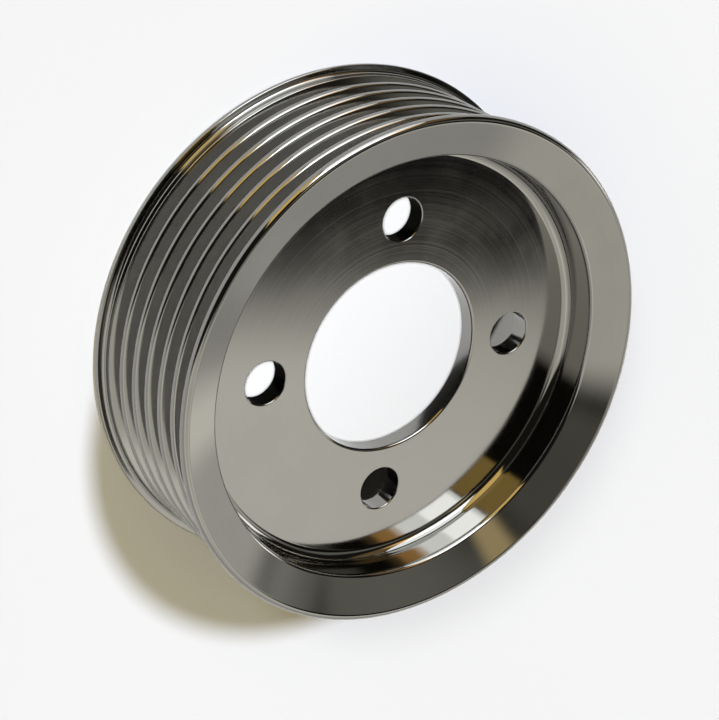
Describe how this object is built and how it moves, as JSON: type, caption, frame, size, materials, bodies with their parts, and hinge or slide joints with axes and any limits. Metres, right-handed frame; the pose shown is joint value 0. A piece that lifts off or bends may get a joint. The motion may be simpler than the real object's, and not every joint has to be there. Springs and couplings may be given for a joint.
{
  "type": "ribbed belt pulley",
  "caption": "One-piece pulley for a ribbed belt: V-grooved rim between end flanges, recessed web, centre bore and a ring of bolt holes.",
  "frame": {"origin": "on the pulley's axis, level with the back end that it stands on", "axes": "+Z along the axis towards the dished front face; +X and +Y each pass over a bolt hole"},
  "size_m": [0.0762, 0.0762, 0.0254],
  "materials": {
    "plated_steel": "polished"
  },
  "bodies": {
    "root": {"pulley": "plated_steel"}
  },
  "joints": []
}
